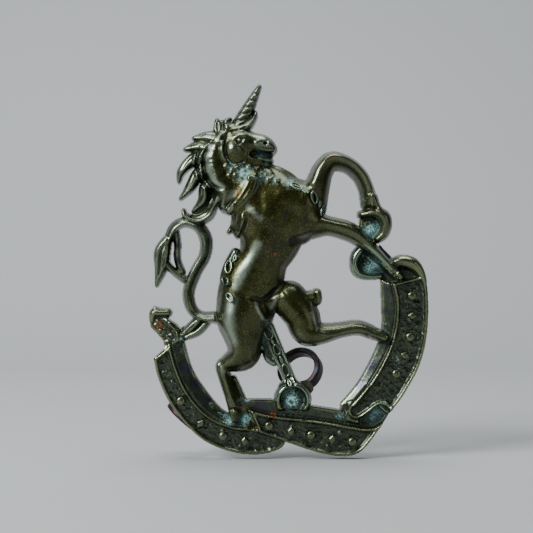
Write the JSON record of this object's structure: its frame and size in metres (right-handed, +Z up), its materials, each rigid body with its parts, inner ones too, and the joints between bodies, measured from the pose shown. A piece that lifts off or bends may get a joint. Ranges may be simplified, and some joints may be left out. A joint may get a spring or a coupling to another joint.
{
  "type": "cap badge",
  "caption": "Pierced bronze cap badge: a collared, chained unicorn rampant on a folded ribbon scroll, with ring lugs brazed to its flat back.",
  "frame": {"origin": "on the flat back, behind the middle of the unicorn's trunk", "axes": "+Z up the badge towards the horn, +Y out of the back towards the cap, +X towards the side that the unicorn faces; the relief rises towards -Y"},
  "size_m": [0.0349, 0.0101, 0.0464],
  "materials": {
    "dark_bronze": "dark olive bronze with a worn, waxed sheen on the high forms",
    "worn_bronze": "bronze rubbed pale on its edges",
    "scroll_bronze": "dark bronze with a stippled ground and bright rims",
    "verdigris_bronze": "bronze under blue-green verdigris",
    "lug_copper": "oxidised copper strip, brown-black with a blue cast",
    "braze": "dull brazing metal"
  },
  "bodies": {
    "root": {"trunk": "dark_bronze", "head": "dark_bronze", "horn": "worn_bronze", "ears_and_forelock": "dark_bronze", "mane": "dark_bronze", "collar": "worn_bronze", "near_foreleg": "dark_bronze", "far_foreleg": "dark_bronze", "near_hind_leg": "dark_bronze", "far_hind_leg": "dark_bronze", "tail": "dark_bronze", "back_chain": "worn_bronze", "chest_chain": "worn_bronze", "hind_chain": "verdigris_bronze", "chain_ring": "verdigris_bronze", "scroll_left_fold": "scroll_bronze", "scroll_left_end": "scroll_bronze", "scroll_left": "scroll_bronze", "scroll_centre": "scroll_bronze", "scroll_lower_curl": "scroll_bronze", "scroll_right": "scroll_bronze", "scroll_right_fold": "scroll_bronze", "scroll_right_curl": "scroll_bronze", "left_ornaments": "worn_bronze", "centre_ornaments": "worn_bronze", "right_ornaments": "worn_bronze", "lug_left": "lug_copper", "lug_right": "lug_copper", "braze_left": "braze", "braze_right": "braze"}
  },
  "joints": []
}
